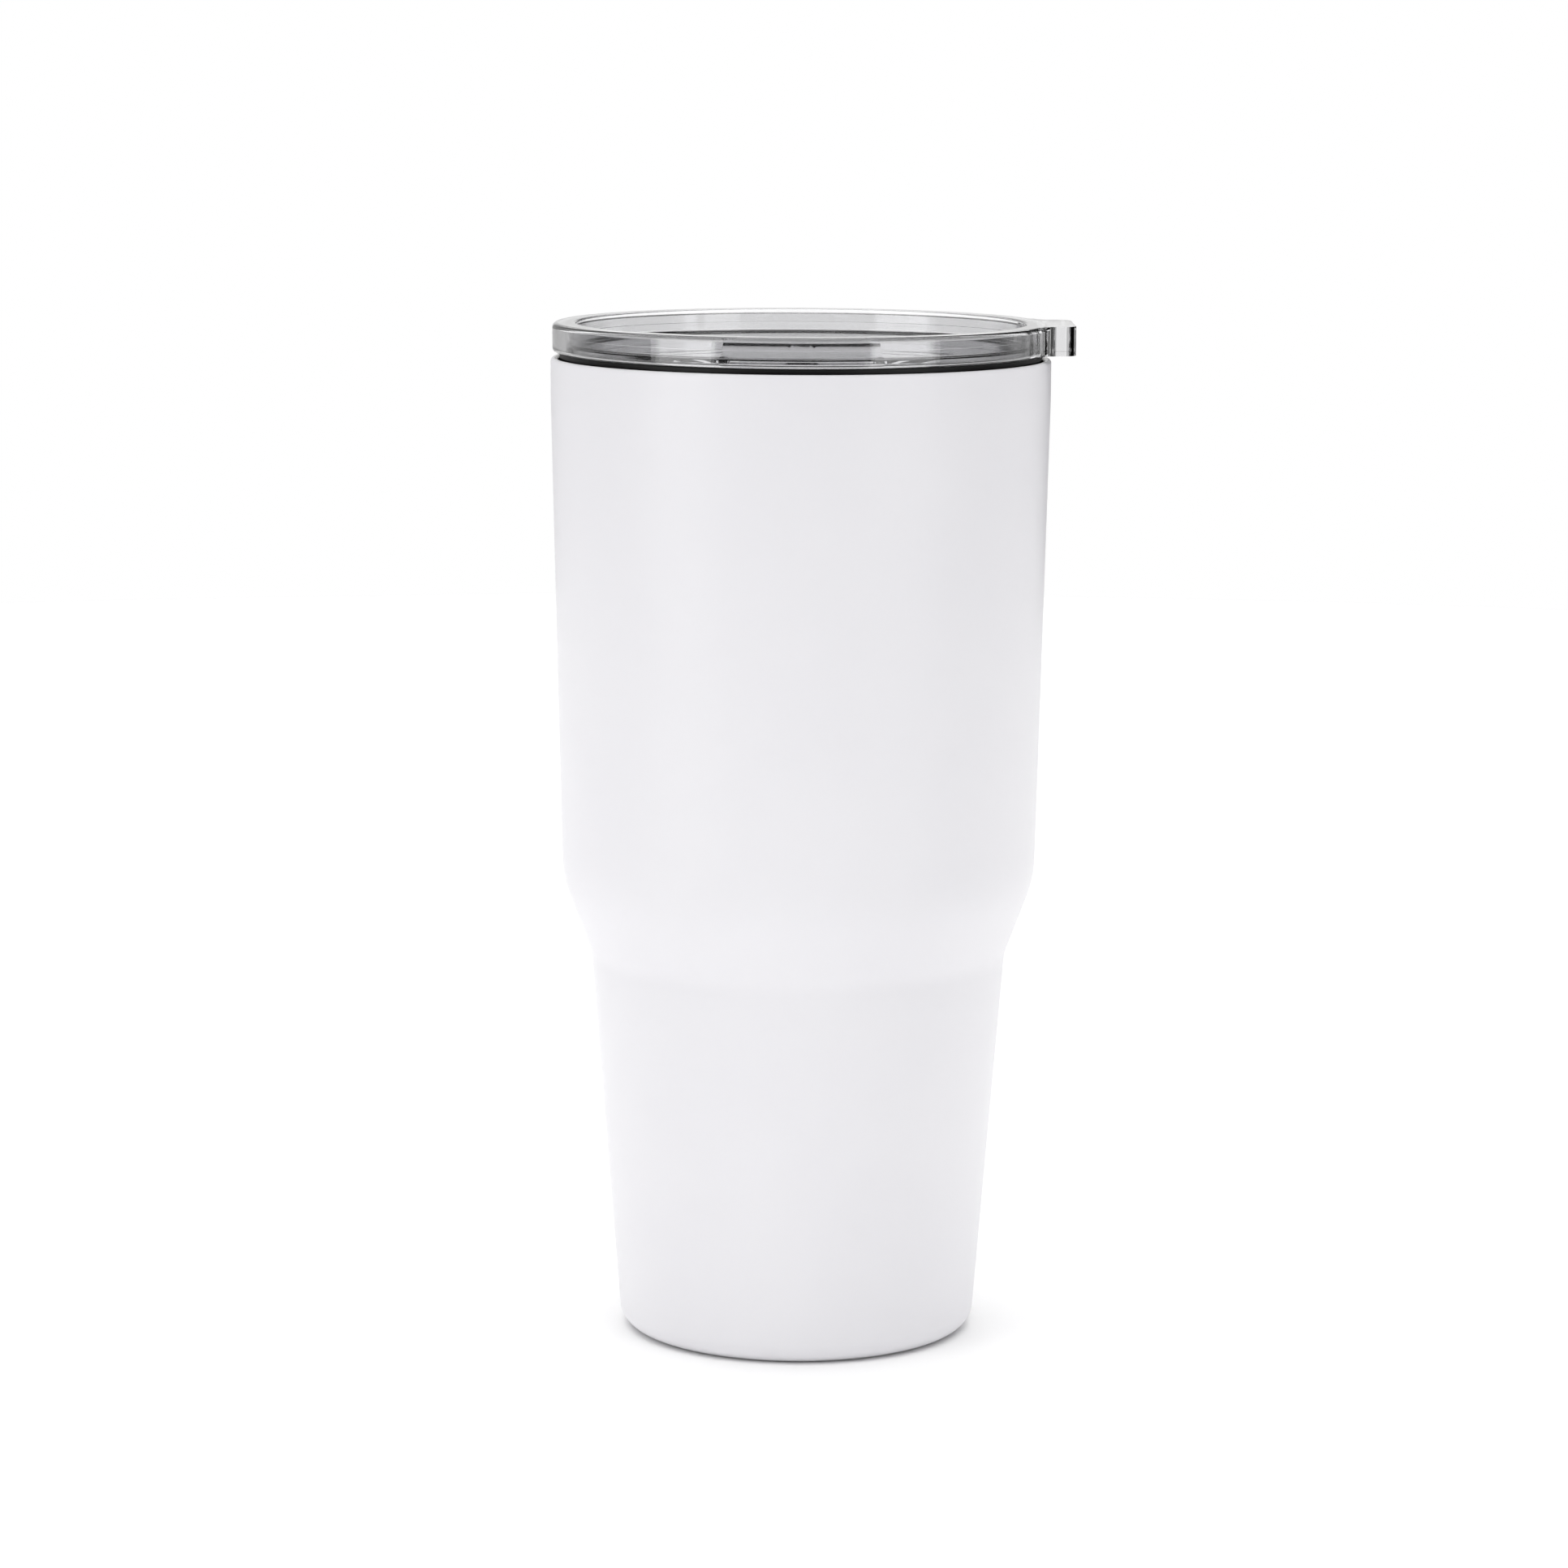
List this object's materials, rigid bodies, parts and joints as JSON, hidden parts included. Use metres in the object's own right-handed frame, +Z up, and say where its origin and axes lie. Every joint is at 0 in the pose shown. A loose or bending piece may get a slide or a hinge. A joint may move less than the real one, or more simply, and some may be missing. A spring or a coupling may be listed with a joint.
{
  "type": "insulated tumbler with lid",
  "caption": "Double-walled steel drinking tumbler, tapered foot for a cup holder, with a clear press-in lid that has a sliding drink opening and a pry tab.",
  "frame": {"origin": "on the cup's axis, in the plane that the foot ring stands on", "axes": "+Z up along the cup's axis, -Y towards the lid's drinking edge, +X towards the lid's pry tab"},
  "size_m": [0.1057, 0.1012, 0.2074],
  "materials": {
    "white_coat": "satin gloss powder coat on steel",
    "steel": "polished",
    "copper": "rolled foil",
    "solder": "dull bead",
    "getter_powder": "pressed powder",
    "black_silicone": "moulded, smooth",
    "pale_silicone": "moulded, translucent",
    "clear_plastic": "clear, polished mould"
  },
  "bodies": {
    "tumbler": {"outer_shell": "white_coat", "inner_liner": "steel", "liner_bottom": "steel", "copper_foil": "copper", "outer_bottom": "steel", "vacuum_seal": "solder", "base_cover": "steel", "getter": "getter_powder", "getter_clip": "steel"},
    "gasket": {"gasket": "black_silicone"},
    "lid": {"lid_body": "clear_plastic"},
    "slider": {"slider": "clear_plastic", "slider_seal": "pale_silicone"}
  },
  "joints": [
    {"name": "lid_lift", "type": "slide", "parent": "tumbler", "child": "gasket", "axis": [0, 0, 1], "range_m": [0, 0.06]},
    {"name": "lid_turn", "type": "hinge", "parent": "gasket", "child": "lid", "pos_m": [0, 0, 0.2], "axis": [0, 0, 1], "continuous": true},
    {"name": "slider_slide", "type": "slide", "parent": "lid", "child": "slider", "axis": [0, 1, 0], "range_m": [0, 0.018]}
  ]
}
